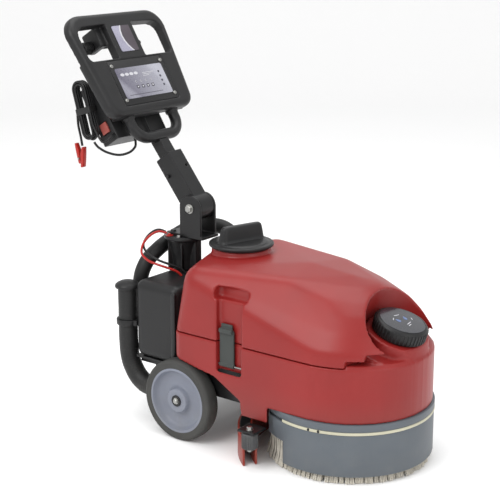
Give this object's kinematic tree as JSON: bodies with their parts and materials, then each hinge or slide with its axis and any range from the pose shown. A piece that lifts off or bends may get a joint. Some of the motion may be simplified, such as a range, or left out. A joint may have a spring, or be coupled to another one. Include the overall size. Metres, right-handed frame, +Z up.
{
  "type": "walk-behind floor scrubber",
  "caption": "Compact battery floor scrubber: disc brush under a round deck, lift-off twin tank, rear suction housing, squeegee with rollers and a tilting handle.",
  "frame": {"origin": "centre of the machine's plan box on the floor, without the charger lead and battery leads", "axes": "+Z up from the floor, -Y forwards over the brush, +Y back to the handle, +X to the machine's left as it drives forwards"},
  "size_m": [0.5, 0.972, 0.9835],
  "materials": {
    "frame_black": "satin powder coat",
    "deck_grey": "satin paint",
    "skirt_grey": "smooth matt rubber",
    "band_cream": "smooth matt rubber",
    "shell_red": "rotomoulded, fine orange peel, satin",
    "cast_metal": "as cast",
    "motor_black": "painted",
    "bright_steel": "zinc plated",
    "plate_tan": "moulded",
    "bristle": "nylon bristle",
    "rim_grey": "moulded, satin",
    "tyre": "worn matt rubber",
    "tank_white": "rotomoulded, unpainted",
    "battery_case": "matt case",
    "black_rubber": "matt",
    "black_plastic": "fine grain, satin",
    "label_print": "printed film under clear coat",
    "strap_rubber": "matt",
    "blade_red": "smooth polyurethane",
    "roller_grey": "knurled",
    "switch_red": "gloss",
    "cable_black": "smooth PVC",
    "clip_red": "vinyl dipped",
    "lead_red": "smooth PVC"
  },
  "bodies": {
    "machine": {"chassis_frame": "frame_black", "deck": "deck_grey", "skirt": "skirt_grey", "skirt_band": "band_cream", "body_shell": "shell_red", "gearbox": "cast_metal", "brush_motor": "motor_black", "axle": "bright_steel", "axle_caps": "black_plastic", "battery_left": "battery_case", "battery_right": "battery_case", "clean_tank": "tank_white", "strap_pins": "bright_steel", "rear_housing": "black_plastic", "suction_motor": "cast_metal", "suction_hose": "black_rubber", "drain_hose": "black_rubber", "hose_clip": "black_plastic", "column": "black_plastic", "fork": "frame_black", "pivot_bolt": "bright_steel", "battery_leads": "lead_red"},
    "brush": {"drive_shaft": "bright_steel", "brush_plate": "plate_tan", "bristles": "bristle"},
    "wheel_left": {"rim_left": "rim_grey", "tyre_left": "tyre"},
    "wheel_right": {"rim_right": "rim_grey", "tyre_right": "tyre"},
    "tank": {"twin_tank": "shell_red"},
    "lid_ring": {"lid_seal": "black_rubber"},
    "lid": {"lid": "black_plastic"},
    "cap_ring": {"cap_seal": "black_rubber"},
    "filler_cap": {"filler_cap": "black_plastic", "cap_face": "label_print"},
    "strap_left": {"strap_left": "strap_rubber"},
    "strap_right": {"strap_right": "strap_rubber"},
    "drain_cap": {"drain_cap": "black_plastic"},
    "squeegee": {"squeegee_bar": "frame_black", "squeegee_arm": "frame_black", "blade_front": "blade_red", "blade_rear": "blade_red", "roller_bolts": "bright_steel"},
    "roller_left": {"roller_left": "roller_grey"},
    "roller_right": {"roller_right": "roller_grey"},
    "handle": {"handle_arm": "frame_black", "stem": "frame_black", "handle_frame": "black_plastic", "frame_back": "black_plastic", "lower_grip": "black_plastic", "panel_plate": "label_print", "panel_screws": "bright_steel", "charger": "black_plastic", "cable_hank": "cable_black", "charger_cable": "cable_black", "clip_body": "clip_red", "control_cable": "cable_black"},
    "deadman_rod": {"deadman_rod": "black_plastic"},
    "charger_switch": {"charger_switch": "switch_red"},
    "clip_jaw": {"clip_jaw": "clip_red"}
  },
  "joints": [
    {"name": "brush_spin", "type": "hinge", "parent": "machine", "child": "brush", "pos_m": [0, -0.287, 0.07], "axis": [0, 0, 1], "continuous": true},
    {"name": "wheel_left_spin", "type": "hinge", "parent": "machine", "child": "wheel_left", "pos_m": [-0.183, 0.072, 0.1], "axis": [1, 0, 0], "continuous": true},
    {"name": "wheel_right_spin", "type": "hinge", "parent": "machine", "child": "wheel_right", "pos_m": [0.183, 0.072, 0.1], "axis": [1, 0, 0], "continuous": true},
    {"name": "tank_lift", "type": "slide", "parent": "machine", "child": "tank", "axis": [0, 0, 1], "range_m": [0, 0.25]},
    {"name": "lid_lift", "type": "slide", "parent": "tank", "child": "lid_ring", "axis": [0, 0, 1], "range_m": [0, 0.12]},
    {"name": "lid_turn", "type": "hinge", "parent": "lid_ring", "child": "lid", "pos_m": [0, 0.031, 0.45], "axis": [0, 0, 1], "range_deg": [0, 90]},
    {"name": "cap_lift", "type": "slide", "parent": "machine", "child": "cap_ring", "axis": [0, -0.309, 0.9511], "range_m": [0, 0.1]},
    {"name": "cap_turn", "type": "hinge", "parent": "cap_ring", "child": "filler_cap", "pos_m": [0, -0.413, 0.316], "axis": [0, -0.309, 0.9511], "range_deg": [0, 360]},
    {"name": "strap_left_swing", "type": "hinge", "parent": "machine", "child": "strap_left", "pos_m": [-0.182, -0.068, 0.216], "axis": [0, -1, 0], "range_deg": [0, 100]},
    {"name": "strap_right_swing", "type": "hinge", "parent": "machine", "child": "strap_right", "pos_m": [0.182, -0.068, 0.216], "axis": [0, 1, 0], "range_deg": [0, 100]},
    {"name": "drain_cap_pull", "type": "slide", "parent": "machine", "child": "drain_cap", "axis": [0, 0, 1], "range_m": [0, 0.06]},
    {"name": "squeegee_lift", "type": "hinge", "parent": "machine", "child": "squeegee", "pos_m": [0, 0.035, 0.118], "axis": [-1, 0, 0], "range_deg": [0, 8]},
    {"name": "roller_left_spin", "type": "hinge", "parent": "squeegee", "child": "roller_left", "pos_m": [-0.231, -0.171, 0.073], "axis": [0, 0, 1], "continuous": true},
    {"name": "roller_right_spin", "type": "hinge", "parent": "squeegee", "child": "roller_right", "pos_m": [0.231, -0.171, 0.073], "axis": [0, 0, 1], "continuous": true},
    {"name": "handle_tilt", "type": "hinge", "parent": "machine", "child": "handle", "pos_m": [0, 0.167, 0.525], "axis": [1, 0, 0], "range_deg": [-40, 30]},
    {"name": "deadman_turn", "type": "hinge", "parent": "handle", "child": "deadman_rod", "pos_m": [0, 0.4504, 0.89973], "axis": [1, 0, 0], "range_deg": [0, 15], "stiffness_Nm_per_rad": 0.6, "springref_deg": -11.46},
    {"name": "charger_rocker", "type": "hinge", "parent": "handle", "child": "charger_switch", "pos_m": [-0.1187, 0.36075, 0.71528], "axis": [0, -0.8499, 0.527], "range_deg": [-6, 6]},
    {"name": "clip_squeeze", "type": "hinge", "parent": "handle", "child": "clip_jaw", "pos_m": [-0.135, 0.431, 0.636], "axis": [1, 0, 0], "range_deg": [0, 10], "stiffness_Nm_per_rad": 0.5, "springref_deg": -11.46}
  ]
}
